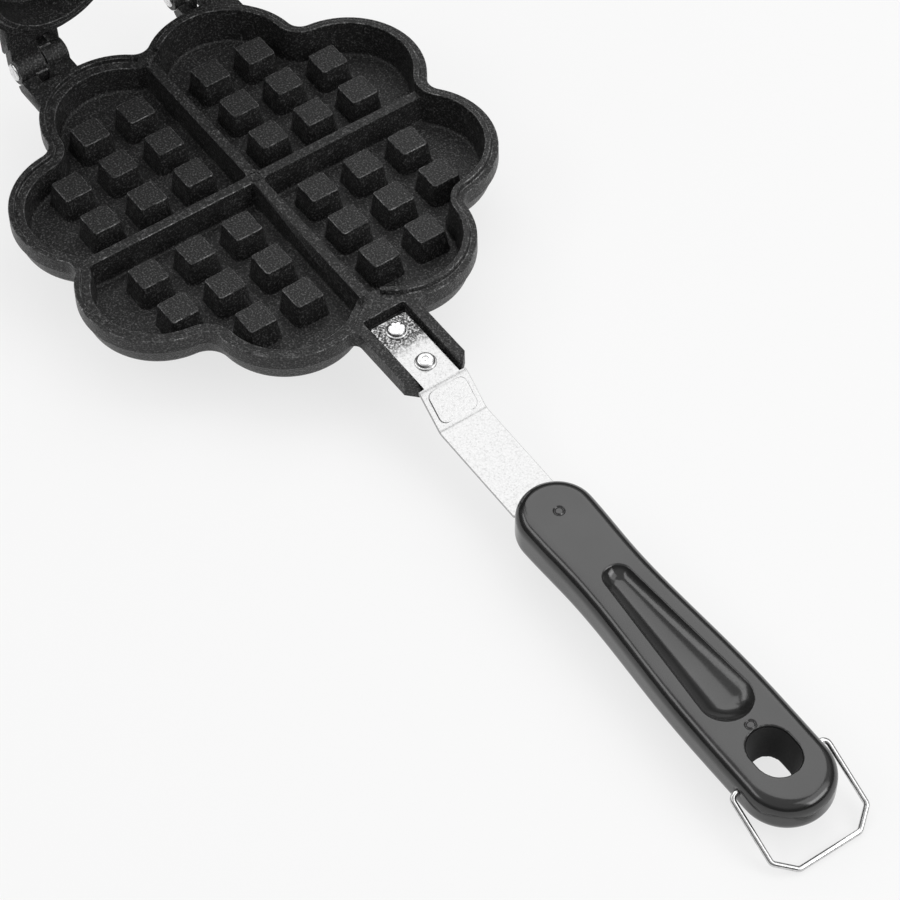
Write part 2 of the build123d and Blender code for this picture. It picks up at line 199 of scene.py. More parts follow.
def remap(tree, value, old_range, new_range):
    """Carry a value from one range to another, held inside the new range."""
    return add_node(
        tree,
        "ShaderNodeMapRange",
        {
            "Value": value,
            "From Min": old_range[0],
            "From Max": old_range[1],
            "To Min": new_range[0],
            "To Max": new_range[1],
        },
    ).outputs["Result"]


# %% Helpers for colour and bumps
def colour_bands(tree, value, *bands):
    """Turn a value into a grey: each band is a place and how light it is there."""
    node = add_node(tree, "ShaderNodeValToRGB", {"Fac": value})
    ramp = node.color_ramp
    for number, (position, grey) in enumerate(bands):
        if number < len(ramp.elements):
            element = ramp.elements[number]
            element.position = position
        else:
            element = ramp.elements.new(position)
        element.color = (grey, grey, grey, 1)
    return node.outputs["Color"]


def mix_colours(tree, share, one, two):
    """Mix two greys. A Mix node's colour sockets share their names, so they go by number."""
    node = add_node(tree, "ShaderNodeMix", {"Factor": share}, data_type="RGBA")
    for socket, value in zip((node.inputs[6], node.inputs[7]), (one, two)):
        if isinstance(value, bpy.types.NodeSocket):
            tree.links.new(value, socket)
        else:
            socket.default_value = (value, value, value, 1)
    return node.outputs[2]


def add_bump(tree, shader, height, distance, strength):
    bump = add_node(
        tree, "ShaderNodeBump", {"Height": height, "Distance": distance, "Strength": strength}
    )
    tree.links.new(bump.outputs["Normal"], shader.inputs["Normal"])


# %% [markdown]
# ## The baked coating of the castings
#
# The castings are aluminium with a dark non-stick coating baked on. It is nearly black, a
# little rough, and full of fine light specks, because the blasted metal under it shows through.
# Corners are the first to wear, and the most worn places are nearly bare metal. Their light grey
# is also a painted highlight: it stands for the thin bright lines that the lamps draw along the
# rounded corners. Pointiness, from the Geometry node, could guess the corners, but its guess
# changes with the size of the faces. So the corners are marked in the mesh, with an attribute
# that is 1 on the narrow faces that round them, and the material reads that mark. A slower noise
# breaks it up into rubbed places, and the painted highlight with it.

# %% Material: baked coating
MOST_WEAR_AND_HIGHLIGHT = 0.8  # share of bare metal and painted highlight where a corner is rubbed the most
PATCH_SHARE, PATCH_GREY = 0.15, 0.018


def make_coating():
    material, tree, shader = start_material("baked_coating", 0.35, Specular_IOR_Level=0.22)
    place = place_pattern(tree)
    specks = grain(tree, place, scale=1500, roughness=0.6)
    patches = grain(tree, place, scale=70, detail=3.0)
    rub_and_highlight_share = remap(tree, grain(tree, place, scale=260), (0.4, 0.65), (0, MOST_WEAR_AND_HIGHLIGHT))
    dark = colour_bands(tree, specks, (0.36, 0.009), (0.54, 0.021), (0.72, 0.12))
    # The bare metal's greys are painted light enough to stand for the highlight that the lamps
    # draw along the rounded corners.
    bare_and_highlight = colour_bands(tree, specks, (0.32, 0.06), (0.55, 0.2), (0.72, 0.5))
    mark = add_node(tree, "ShaderNodeAttribute", attribute_name="worn_and_highlight_edge").outputs["Fac"]
    wear_and_highlight = maths(tree, "MULTIPLY", mark, rub_and_highlight_share)
    colour = mix_colours(tree, wear_and_highlight, dark, bare_and_highlight)
    patch_share = remap(tree, patches, NOISE_RANGE, (0, PATCH_SHARE))
    shade = mix_colours(tree, patch_share, colour, PATCH_GREY)
    tree.links.new(shade, shader.inputs["Base Color"])
    rough = remap(tree, specks, NOISE_RANGE, (0.42, 0.28))
    tree.links.new(rough, shader.inputs["Roughness"])
    tree.links.new(maths(tree, "MULTIPLY", wear_and_highlight, 0.8), shader.inputs["Metallic"])
    add_bump(tree, shader, specks, distance=0.4 * MM, strength=0.7)
    return material


coating = make_coating()
print("made", coating.name)

# %% [markdown]
# ## The finish of the handle
#
# The handle is hard black moulded resin. It could be painted grey where it looks grey, but that
# grey is its gloss: its flat top mirrors the bright panel above it, its grooves mirror the dark
# room. So the colour stays almost black and the shader's reflection does the work. A mould never
# leaves a perfect mirror, so a broad and very shallow bump bends the reflections a little. The
# wall of the hanging hole comes off a rough core. It has a mark in the mesh, as the corners of the
# castings have for their wear and painted highlight, and the material makes it matt there.

# %% Material: moulded resin
MATT_ROUGHNESS = 0.75  # added on the hole's wall


def make_resin():
    material, tree, shader = start_material("moulded_resin", 0.2, IOR=1.6)
    place = place_pattern(tree)
    flow = grain(tree, place, scale=45)
    fine = grain(tree, place, scale=1400)
    black = colour_bands(tree, flow, (0.35, 0.012), (0.7, 0.02))
    tree.links.new(black, shader.inputs["Base Color"])
    gloss = remap(tree, fine, NOISE_RANGE, (0.12, 0.2))
    mark = add_node(tree, "ShaderNodeAttribute", attribute_name="matt_wall").outputs["Fac"]
    rough = maths(tree, "ADD", gloss, maths(tree, "MULTIPLY", mark, MATT_ROUGHNESS))
    tree.links.new(rough, shader.inputs["Roughness"])
    add_bump(tree, shader, flow, distance=0.4 * MM, strength=0.35)
    return material


resin = make_resin()
print("made", resin.name)

# %% [markdown]
# ## The bright metals
#
# The straps are bright plated steel, with a fine speckle left by the sheet's rolled skin. At their
# inner end the colour is painted dark and mottled: a painted reflection of the dark casting that
# stands over that end. Two finishes on two groups of faces would meet in a hard line. Here one
# material fades from one to the other along the strap, and a noise makes the border ragged. The
# painted patch is laid out on the strap of the lower half; a Mapping node turns it into place for
# the twin. The rivets are soft aluminium and the pins and the bail are steel, and for them one
# plain recipe is enough.

# %% Material: plated steel of the straps
REFLECTION_PATCH_BORDER = (0.0985, 0.1035)  # the painted reflection fades out between these two places
RAGGED = 0.012  # how far the noise moves that border


def make_strap_steel(name, turn):
    material, tree, shader = start_material(name, 0.24, Metallic=1.0)
    place = place_pattern(tree, turn)
    along = add_node(tree, "ShaderNodeSeparateXYZ", {"Vector": place}).outputs["X"]
    speckle = grain(tree, place, scale=1300, detail=3.0, roughness=0.65)
    mottle = grain(tree, place, scale=700, detail=4.0, roughness=0.75)
    unreflected_steel = colour_bands(tree, speckle, (0.33, 0.37), (0.45, 0.435), (0.6, 0.455))
    # The dark speckled grey is a painted reflection of the dark casting, laid on the strap's inner
    # end.
    reflected_dark = colour_bands(tree, speckle, (0.38, 0.02), (0.5, 0.09), (0.64, 0.45))
    border = maths(tree, "ADD", along, maths(tree, "MULTIPLY", mottle, RAGGED))
    # 1 where the painted reflection covers the strap, 0 where the plain bright steel shows.
    painted_reflection = remap(tree, border, REFLECTION_PATCH_BORDER, (1, 0))
    colour = mix_colours(tree, painted_reflection, unreflected_steel, reflected_dark)
    tree.links.new(colour, shader.inputs["Base Color"])
    rough = remap(tree, speckle, NOISE_RANGE, (0.3, 0.2))
    tree.links.new(rough, shader.inputs["Roughness"])
    add_bump(tree, shader, speckle, distance=0.08 * MM, strength=0.5)
    return material


# %% Material: the small bright parts
def make_bright_metal(name, grey, roughness, scale):
    """Metal with a fine tool-mark grain, for rivets, pins and wire."""
    material, tree, shader = start_material(name, roughness, Metallic=1.0)
    place = place_pattern(tree)
    marks = grain(tree, place, scale, detail=3.0, roughness=0.6)
    tone = colour_bands(tree, marks, (0.35, grey * 0.7), (0.5, grey), (0.7, grey * 1.1))
    tree.links.new(tone, shader.inputs["Base Color"])
    rough = remap(tree, marks, NOISE_RANGE, (roughness * 1.3, roughness * 0.8))
    tree.links.new(rough, shader.inputs["Roughness"])
    add_bump(tree, shader, marks, distance=0.06 * MM, strength=0.5)
    return material


# %% Make the five metals
lower_steel = make_strap_steel("plated_steel", lower_place)
upper_steel = make_strap_steel("plated_steel_twin", twin)
rivet_metal = make_bright_metal("peened_aluminium", grey=0.66, roughness=0.3, scale=1100)
pin_metal = make_bright_metal("bright_pin_steel", grey=0.8, roughness=0.3, scale=1300)
wire_metal = make_bright_metal("drawn_wire", grey=0.62, roughness=0.14, scale=1600)
metals = (lower_steel, upper_steel, rivet_metal, pin_metal, wire_metal)
print("made", ", ".join(metal.name for metal in metals))

# %% [markdown]
# ## Edit meshes
#
# A solid from the frame arrives as loose triangles. It could be edited in Blender's Edit Mode;
# in a script, the same work is done on an edit mesh, a bmesh. A copy is joined up first, and its
# flat areas are merged into large faces. Later steps hand these edit meshes on, and the last one
# turns them into an object. Weighted normals keep large flat faces flat in the light although
# their edges are rounded.

# %% Join a copy of a part's triangles
def joined_copy(node, flat_angle):
    """Edit mesh of a frame part with its triangles joined and its flat areas merged."""
    edit = bmesh.new()
    edit.from_mesh(nodes[node].data)
    bmesh.ops.remove_doubles(edit, verts=edit.verts, dist=0.001 * MM)
    merge_flat_areas(edit, flat_angle)
    return edit


def merge_flat_areas(edit, flat_angle):
    bmesh.ops.dissolve_limit(
        edit, angle_limit=math.radians(flat_angle), verts=edit.verts, edges=edit.edges
    )


# %% Into an object and back again
def carry(edit, name):
    """Put an edit mesh into a new object, so that modifiers can work on it."""
    mesh = bpy.data.meshes.new(name)
    edit.to_mesh(mesh)
    edit.free()
    carrier = bpy.data.objects.new(name, mesh)
    bpy.context.scene.collection.objects.link(carrier)
    return carrier


def take_back(carrier):
    """Apply an object's modifiers by reading its evaluated mesh, and drop the object."""
    graph = bpy.context.evaluated_depsgraph_get()
    plain = bpy.data.meshes.new_from_object(carrier.evaluated_get(graph), depsgraph=graph)
    bpy.data.objects.remove(carrier)
    edit = bmesh.new()
    edit.from_mesh(plain)
    bpy.data.meshes.remove(plain)
    return edit


# %% Turn an edit mesh into a finished piece
def finish_piece(edit, name, material, smooth_angle=40.0, flat_faces=True):
    """Object with its material, smooth where its faces meet at less than the angle."""
    piece = carry(edit, name)
    mesh = piece.data
    mesh.materials.clear()
    mesh.materials.append(material)
    mesh.shade_smooth()
    mesh.set_sharp_from_angle(angle=math.radians(smooth_angle))
    if flat_faces:
        piece.modifiers.new("flat_faces", "WEIGHTED_NORMAL").keep_sharp = True
    return piece


def hand_over(piece, node):
    """Let a piece stand for one part of the frame, on the body that part belongs to."""
    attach(piece, nodes[node]["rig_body"])
    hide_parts(node)
    print(piece.name, "has", len(piece.data.polygons), "faces")


# %% [markdown]
# ## Cradles and ramps on the casting
#
# Two small forms are added where the mould leaves more metal than the plain solid has. The lug
# reaches under the other half's barrel as a cradle, beside the heel that stops it. And where
# the rim's inner step begins at a divider, it doesn't start with a wall but with a short ramp.
# Each is a bar with a drawn end face. The bars could just be pushed into the casting, but then
# a hard line would run round them that no bevel can soften. A Boolean union melts them in.

# %% Bars with a drawn end face
def add_bar(edit, end_face, shift):
    """Closed bar: a flat outline of points in millimetres, swept by a vector."""
    near = [edit.verts.new(Vector(point) * MM) for point in end_face]
    far = [edit.verts.new((Vector(point) + Vector(shift)) * MM) for point in end_face]
    edit.faces.new(near)
    edit.faces.new(list(reversed(far)))
    for number in range(len(near)):
        following = (number + 1) % len(near)
        edit.faces.new((near[number], far[number], far[following], near[following]))


# %% The cradles and the ramps, in millimetres
CRADLE_RADIUS = 5.25
CRADLE_ANGLES = (-7, -16, -25, -34, -43, -52, -61)
CRADLE_SPANS = ((-42.88, -36.4), (-31.6, -31.0), (22.62, 26.4))  # along the hinge
RAMP_STARTS, RAMP_LENGTH = (-72.6, 69.0), 3.6


def cradle_outline(y):
    """Side view of a cradle: the lug's front, hollowed round the barrel."""
    hollow = []
    for degrees in CRADLE_ANGLES:
        angle = math.radians(degrees)
        x = HINGE_X + CRADLE_RADIUS * math.cos(angle)
        z = HINGE_Z + CRADLE_RADIUS * math.sin(angle)
        hollow.append((x, y, z))
    return hollow + [(-87.9, y, 8.8), (-82, y, 8.8), (-82, y, 14.36)]


def ramp_outline(x):
    """Side view of a ramp, from the top of the divider down to the rim's step."""
    return [(x, -0.8, 14.88), (x, -0.8, 12.8), (x, -4.0, 12.8), (x, -4.0, 12.98)]


def extra_metal():
    edit = bmesh.new()
    for low, high in CRADLE_SPANS:
        add_bar(edit, cradle_outline(low), (0, high - low, 0))
    for x in RAMP_STARTS:
        add_bar(edit, ramp_outline(x), (RAMP_LENGTH, 0, 0))
    bmesh.ops.recalc_face_normals(edit, faces=edit.faces)
    return edit


# %% Melt them into the casting
def melted_casting():
    """The lower casting with its cradles and ramps."""
    plate = carry(joined_copy("lower_plate", 0.05), "plain_plate")
    extra = carry(extra_metal(), "extra_metal")
    union = plate.modifiers.new("melt", "BOOLEAN")
    union.operation = "UNION"
    union.solver = "EXACT"
    union.object = extra
    edit = take_back(plate)
    bpy.data.objects.remove(extra)
    bmesh.ops.remove_doubles(edit, verts=edit.verts, dist=0.002 * MM)
    merge_flat_areas(edit, 0.6)
    return edit


# %% [markdown]
# ## Soft edges
#
# No casting has a knife edge: the mould is rounded, and the coating rounds it further. Every
# sharp edge gets a narrow two-step bevel. A Bevel modifier would treat all edges alike. The
# same tool in an edit mesh takes a list of edges, and hands back the faces that it made.
#
# A bevel can go wrong. One that is wider than a thin wall folds the wall's end over itself, and
# one that is wider than a short edge throws a corner out of the surface. Both can be found by
# looking, so the work is done on a copy: where it went wrong, the edges nearby are kept sharp
# in the next try.

# %% Find the places where a bevel went wrong
SLIVER = 0.04 * MM**2  # smaller triangles are too thin to judge; this is twice their area
MOST_STRAY = 1.2  # how far a corner may leave the old surface, in widths of the bevel


def folded_places(edit):
    """Corners of the triangles that lie the wrong way round in their own face."""
    edit.normal_update()
    places = []
    for loops in edit.calc_loop_triangles():
        one, two, three = (loop.vert.co for loop in loops)
        across = (two - one).cross(three - one)
        if across.length > SLIVER and across.dot(loops[0].face.normal) < 0:
            places += [one.copy(), two.copy(), three.copy()]
    return places


def strayed_places(edit, old_surface, width):
    """Corners that lie further off the old surface than a good bevel puts them."""
    return [
        vert.co.copy()
        for vert in edit.verts
        if old_surface.find_nearest(vert.co)[3] > MOST_STRAY * width
    ]


# %% Choose the edges and bevel them
KEEP_OFF = 1.5 * MM  # edges this near to a fault stay sharp


def chosen_edges(edit, sharp_angle, wanted, faults):
    """The wanted edges that are sharp and not near a fault of an earlier try."""
    limit = math.radians(sharp_angle)
    return [
        edge
        for edge in edit.edges
        if edge.is_manifold
        and edge.calc_face_angle() > limit
        and wanted(edge)
        and not any((vert.co - place).length < KEEP_OFF for vert in edge.verts for place in faults)
    ]


def bevel(edit, edges, width):
    """Two-step bevel. Returns the faces that it made."""
    return bmesh.ops.bevel(
        edit,
        geom=edges,
        offset=width,
        offset_type="OFFSET",
        segments=2,
        profile=0.5,
        affect="EDGES",
        clamp_overlap=False,
    )["faces"]


# %% Try until the bevel is clean
TRIES = 5


def round_edges(edit, width, sharp_angle, wanted):
    """Bevel the wanted edges. Returns the rounded copy and its new faces."""
    old_surface = BVHTree.FromBMesh(edit)
    faults = []
    for attempt in range(TRIES):
        rounded = edit.copy()
        edges = chosen_edges(rounded, sharp_angle, wanted, faults)
        new_faces = bevel(rounded, edges, width)
        found = strayed_places(rounded, old_surface, width) + folded_places(rounded)
        if not found or attempt == TRIES - 1:
            break
        faults += found
        rounded.free()
    edit.free()
    print("rounded", len(edges), "edges; faults avoided:", len(faults), "left:", len(found))
    return rounded, new_faces


# %% [markdown]
# ## The castings
#
# The castings are the first pieces to be finished. They are one shape, so both are made from
# the lower one, which also keeps the twin true. The two dividers cross at the middle in a tangle
# of very short edges, which stays as it is. The bevel's faces get the mark for wear and painted
# highlight that the coating reads, but only near the top, where a spatula and the other half can
# rub and where the lamps draw bright lines along the corners. It is written on faces and not on
# corners, because a corner would spread it over the whole top of a stud.

# %% Mark the worn faces that carry the painted highlight
TANGLE = 3.5 * MM  # radius of the tangle at the middle


def mark_wear_and_highlight(edit, new_faces, above):
    """Write 1 on the bevel's faces above a height, and 0 on all others."""
    edit.faces.index_update()
    rounding = {face.index for face in new_faces}
    # This layer carries both the wear and the painted highlight of the corners.
    wear_and_highlight_layer = edit.faces.layers.float.new("worn_and_highlight_edge")
    for face in edit.faces:
        high = face.calc_center_median().z > above
        face[wear_and_highlight_layer] = 1.0 if high and face.index in rounding else 0.0


def away_from_middle(edge):
    return math.hypot(*edge.verts[0].co.xy) > TANGLE


# %% Dress the two castings
CAST_ROUNDING, CAST_SHARP_ANGLE = 0.3 * MM, 28
# Only the corners above this height get the wear and its painted highlight.
WEAR_AND_HIGHLIGHT_ABOVE = 11 * MM
for side, place in (("lower", lower_place), ("upper", twin)):
    edit, new_faces = round_edges(
        melted_casting(), CAST_ROUNDING, CAST_SHARP_ANGLE, away_from_middle
    )
    mark_wear_and_highlight(edit, new_faces, WEAR_AND_HIGHLIGHT_ABOVE)
    edit.transform(place)
    casting = finish_piece(edit, f"{side}_casting", coating)
    hand_over(casting, f"{side}_plate")

# %% [markdown]
# ## The straps
#
# The strap is pressed from sheet, and a pressed edge is tumbled until it is just safe to touch:
# a bevel of a fifth of a millimetre. A Solidify modifier on a flat outline would make such a
# strip too, but its bends and its pressed panel are in the solid already. Only the cut edges are
# rounded. The lines across the strap at its bends are folds of the sheet, and stay.

# %% Dress the straps
LEVEL = 0.01 * MM  # the ends of a line across the strap differ by less than this
SHORT_LINE = 4 * MM  # a shorter line isn't a bend
BENDS_START = 0.09  # nearer the plate, such a line is the strap's cut end


def not_a_bend(edge):
    first, last = (vert.co for vert in edge.verts)
    across = abs(first.x - last.x) < LEVEL and abs(first.y - last.y) > SHORT_LINE
    return not across or max(first.x, last.x) < BENDS_START


STRAP_ROUNDING, STRAP_SHARP_ANGLE = 0.18 * MM, 35
straps = {"lower": (lower_place, lower_steel), "upper": (twin, upper_steel)}
for side, (place, steel) in straps.items():
    edit = joined_copy(f"{side}_strap", 0.3)
    edit.transform(place.inverted())
    edit, _ = round_edges(edit, STRAP_ROUNDING, STRAP_SHARP_ANGLE, not_a_bend)
    edit.transform(place)
    strap = finish_piece(edit, f"{side}_blade", steel)
    hand_over(strap, f"{side}_strap")

# %% [markdown]
# ## The moulded handles
#
# Gloss shows every fault of a surface. A subdivision surface would pinch where the solid's long
# thin triangles meet, so the handle gets a new, even skin: a Remesh modifier covers the solid
# with small squares half a millimetre wide, and a few smoothing passes settle them. Then single
# vertices are moved by rule, in the handle's own frame. The thumb groove becomes a scoop with a
# round floor, the top gets a slight crown towards its edges, and two rings are left where the
# pins of the mould pushed the handle out.

# %% Where the handle lies on the lower half
HANDLE_DROOP = 2.0
TAIL_START = (0.126, 0, 0.0033)
HANDLE_START = (0.0391, 0, 0.0086)  # from the start of the strap's tail
droop = Matrix.Rotation(math.radians(HANDLE_DROOP), 4, "Y")
handle_place = Matrix.Translation(TAIL_START) @ droop @ Matrix.Translation(HANDLE_START)
print("the handle starts at x =", round(handle_place.translation.x / MM, 1), "mm")

# %% How far a place is from the groove, in millimetres
GROOVE_FRONT, GROOVE_REAR = (46.6, 5.2), (102.1, 9.3)  # place along the handle, radius
GROOVE_LIP = 1.12  # the skin is levelled out to here, where the groove's edge is 1


def groove_reach(x, y):
    """Distance from the groove's middle line in radii, and the share of the way along it."""
    share = (x - GROOVE_FRONT[0]) / (GROOVE_REAR[0] - GROOVE_FRONT[0])
    share = min(max(share, 0), 1)
    middle = GROOVE_FRONT[0] + share * (GROOVE_REAR[0] - GROOVE_FRONT[0])
    radius = GROOVE_FRONT[1] + share * (GROOVE_REAR[1] - GROOVE_FRONT[1])
    return math.hypot(x - middle, y) / radius, share


# %% The heights of the groove, the crown and a ring, in millimetres
FRONT_DEPTH, DEEPER_REAR = 3.4, 0.8
CROWN_DROP, FLAT_MIDDLE, CROWN_WIDTH = 0.05, 4.5, 8
CROWN_FRONT, CROWN_REAR, CROWN_FADE = 16, 132, 24
RING_RADIUS, RING_DEPTH, RING_WIDTH = 1.6, 0.42, 0.3


def ease(value):
    """Smooth step from 0 to 1."""
    value = min(max(value, 0), 1)
    return value * value * (3 - 2 * value)


def groove_depth(reach, share):
    """Round floor that rises more and more steeply to the groove's edge."""
    if reach >= 1:
        return 0
    return (FRONT_DEPTH + DEEPER_REAR * share) * (1 - reach**2.1) ** 0.95


def crown(x, y):
    """How far the top drops towards its long edges, fading out at both ends."""
    sideways = ease((abs(y) - FLAT_MIDDLE) / CROWN_WIDTH)
    front = ease((x - CROWN_FRONT) / CROWN_FADE)
    return CROWN_DROP * sideways * front * ease((CROWN_REAR - x) / CROWN_FADE)


def ring_depth(from_ring):
    return RING_DEPTH * math.exp(-((from_ring / RING_WIDTH) ** 2))


# %% Shape the skin of the top
EJECT_MARKS = (14.5, 115.0)
TOP_LAYER = -6  # no rule reaches lower than this


def shape_top(edit):
    """Sink the groove, drop the top towards its edges and press the two rings."""
    for vert in edit.verts:
        x, y, z = vert.co / MM
        if z < TOP_LAYER:
            continue
        reach, share = groove_reach(x, y)
        if reach < GROOVE_LIP and vert.normal.z > 0.02:
            z = -groove_depth(reach, share)
        z -= crown(x, y) * ease((z - TOP_LAYER) / 3)
        for place in EJECT_MARKS:
            from_ring = math.hypot(x - place, y) - RING_RADIUS
            if abs(from_ring) < 1 and z > -1:
                z -= ring_depth(from_ring)
        vert.co.z = z * MM


# %% Mark the hole's wall
HOLE_AT, HOLE_LENGTH, HOLE_WIDTH = 126.8, 11.2, 9.2  # a little more than the hole's radii
HOLE_LIP = -0.9  # the rounding above it is as glossy as the top


def mark_hole(edit):
    """The hole's wall comes off a core that is never polished, so it is marked as matt."""
    matt = edit.verts.layers.float.new("matt_wall")
    for vert in edit.verts:
        x, y, z = vert.co / MM
        inside = math.hypot((x - HOLE_AT) / HOLE_LENGTH, y / HOLE_WIDTH) < 1
        if inside and z < HOLE_LIP:
            vert[matt] = 1


# %% Smoothing passes and finer squares
RING_PATCH = 2.8


def smooth(edit, verts, passes, sideways=True):
    """Settle vertices between their neighbours, or only up and down."""
    for _ in range(passes):
        bmesh.ops.smooth_vert(
            edit,
            verts=verts,
            factor=0.5,
            use_axis_x=sideways,
            use_axis_y=sideways,
            use_axis_z=True,
        )


def near_ring(vert):
    """Whether a vertex of the top is so close to a ring that it needs finer squares."""
    return vert.co.z > -0.5 * MM and any(
        (vert.co.xy - Vector((place * MM, 0))).length < RING_PATCH * MM for place in EJECT_MARKS
    )


# %% Mould a handle
SQUARE = 0.5


def moulded_handle(node, place):
    """New skin over a handle, worked on in the handle's frame and carried back."""
    solid = joined_copy(node, 0.05)
    solid.transform(place.inverted())
    carrier = carry(solid, "plain_handle")
    skin = carrier.modifiers.new("skin", "REMESH")
    skin.mode = "VOXEL"
    skin.voxel_size = SQUARE * MM
    edit = take_back(carrier)
    smooth(edit, edit.verts, passes=3)
    ring_edges = [edge for edge in edit.edges if near_ring(edge.verts[0])]
    bmesh.ops.subdivide_edges(edit, edges=ring_edges, cuts=2, use_grid_fill=True)
    edit.normal_update()
    shape_top(edit)
    groove = [
        vert
        for vert in edit.verts
        if groove_reach(*(vert.co.xy / MM))[0] < GROOVE_LIP and vert.co.z > TOP_LAYER * MM
    ]
    smooth(edit, groove, passes=2, sideways=False)
    mark_hole(edit)
    edit.transform(place)
    return edit


# %% Dress the two handles
for side, place in (("lower", handle_place), ("upper", twin @ handle_place)):
    edit = moulded_handle(f"{side}_handle", place)
    handle = finish_piece(edit, f"{side}_grip", resin, 50, flat_faces=False)
    hand_over(handle, f"{side}_handle")

# %% [markdown]
# ## Rivets and pins as turned parts
#
# A rivet and a hinge pin are both turned: one outline, swept round an axis. A Screw modifier
# does that too, but it can't cut the notches that the peening tool leaves in a rivet's head.
# Geometry Nodes can do both, for any outline. The tree lays out a grid, takes the radius and the
# height of each row from a point of the outline, and wraps the columns round a circle. Where the
# notches are, the radius is a little less. The result is moved to its place, merged at the seam,
# and given its material.

# %% Start and end a tree
def start_tree(name, inputs):
    """New geometry tree with its named inputs. Returns the tree and the group input node."""
    tree = bpy.data.node_groups.new(name, "GeometryNodeTree")
    tree.interface.new_socket("Geometry", in_out="INPUT", socket_type="NodeSocketGeometry")
    for title, kind in inputs.items():
        tree.interface.new_socket(title, in_out="INPUT", socket_type=f"NodeSocket{kind}")
    tree.interface.new_socket("Geometry", in_out="OUTPUT", socket_type="NodeSocketGeometry")
    return tree, tree.nodes.new("NodeGroupInput")


def end_tree(tree, geometry, material):
    """Every tree ends in real geometry with its material set, then the group output."""
    real = add_node(tree, "GeometryNodeRealizeInstances", {"Geometry": geometry})
    painted = add_node(
        tree, "GeometryNodeSetMaterial", {"Geometry": real.outputs[0], "Material": material}
    )
    add_node(tree, "NodeGroupOutput", {"Geometry": painted.outputs[0]})


# %% The grid that is wrapped round the axis
def turning_grid(tree, outline, steps):
    """Grid with a row for each point of the outline, and each vertex's row and angle."""
    rows = add_node(tree, "GeometryNodeAttributeDomainSize", {"Geometry": outline}).outputs[0]
    columns = maths(tree, "ADD", steps, 1)
    grid = add_node(
        tree, "GeometryNodeMeshGrid", {"Vertices X": columns, "Vertices Y": rows}
    ).outputs["Mesh"]
    index = add_node(tree, "GeometryNodeInputIndex").outputs[0]
    row = maths(tree, "MODULO", index, rows)
    column = maths(tree, "FLOOR", maths(tree, "DIVIDE", index, rows))
    angle = maths(tree, "MULTIPLY", maths(tree, "DIVIDE", column, steps), math.tau)
    return grid, row, angle


def outline_point(tree, outline, row):
    """Radius and height of the outline's point that belongs to a row."""
    position = add_node(tree, "GeometryNodeInputPosition").outputs[0]
    sampled = add_node(
        tree,
        "GeometryNodeSampleIndex",
        {"Geometry": outline, "Value": position, "Index": row},
        data_type="FLOAT_VECTOR",
    ).outputs[0]
    split = add_node(tree, "ShaderNodeSeparateXYZ", {"Vector": sampled})
    return split.outputs["X"], split.outputs["Z"]


# %% Notches in a rivet's head
def notch_share(tree, given, angle, height):
    """How much of the radius is cut away: in the head only, and on one side of it."""
    wave = maths(tree, "COSINE", maths(tree, "MULTIPLY", angle, given.outputs["Notches"]))
    cut = maths(tree, "POWER", maths(tree, "MAXIMUM", wave, 0.0), 6.0)
    facing = maths(tree, "COSINE", maths(tree, "SUBTRACT", angle, given.outputs["Notch Side"]))
    cut = maths(tree, "MULTIPLY", cut, maths(tree, "GREATER_THAN", facing, 0.0))
    in_head = maths(tree, "GREATER_THAN", height, given.outputs["Notch Height"])
    cut = maths(tree, "MULTIPLY", cut, in_head)
    return maths(tree, "MULTIPLY", cut, given.outputs["Notch Depth"])


def wrapped_place(tree, radius, angle, height):
    across = maths(tree, "MULTIPLY", radius, maths(tree, "COSINE", angle))
    along = maths(tree, "MULTIPLY", radius, maths(tree, "SINE", angle))
    return add_node(
        tree, "ShaderNodeCombineXYZ", {"X": across, "Y": along, "Z": height}
    ).outputs[0]


# %% The tree that turns an outline
TURNING_INPUTS = {
    "Steps": "Int",
    "Notches": "Float",
    "Notch Depth": "Float",
    "Notch Height": "Float",
    "Notch Side": "Float",
    "Place": "Vector",
    "Turn": "Vector",
    "Material": "Material",
}


def make_turning_tree():
    tree, given = start_tree("turned_part", TURNING_INPUTS)
    outline = given.outputs["Geometry"]
    grid, row, angle = turning_grid(tree, outline, given.outputs["Steps"])
    radius, height = outline_point(tree, outline, row)
    left = maths(tree, "SUBTRACT", 1.0, notch_share(tree, given, angle, height))
    place = wrapped_place(tree, maths(tree, "MULTIPLY", radius, left), angle, height)
    shaped = add_node(tree, "GeometryNodeSetPosition", {"Geometry": grid, "Position": place})
    closed = add_node(
        tree, "GeometryNodeMergeByDistance", {"Geometry": shaped.outputs[0], "Distance": 1e-6}
    )
    turned = add_node(
        tree,
        "GeometryNodeTransform",
        {
            "Geometry": closed.outputs[0],
            "Translation": given.outputs["Place"],
            "Rotation": given.outputs["Turn"],
        },
    )
    end_tree(tree, turned.outputs[0], given.outputs["Material"])
    return tree


turning_tree = make_turning_tree()
print("nodes in the turning tree:", len(turning_tree.nodes))

# %% [markdown]
# ## Running a tree
#
# A tree runs as a modifier on an object that holds the outline. Its named inputs are set by the
# identifier of each socket. The modifier could stay live, but the evaluated result is copied
# into a plain mesh instead, so that the finished piece is ordinary geometry that looks the same
# wherever it is opened.

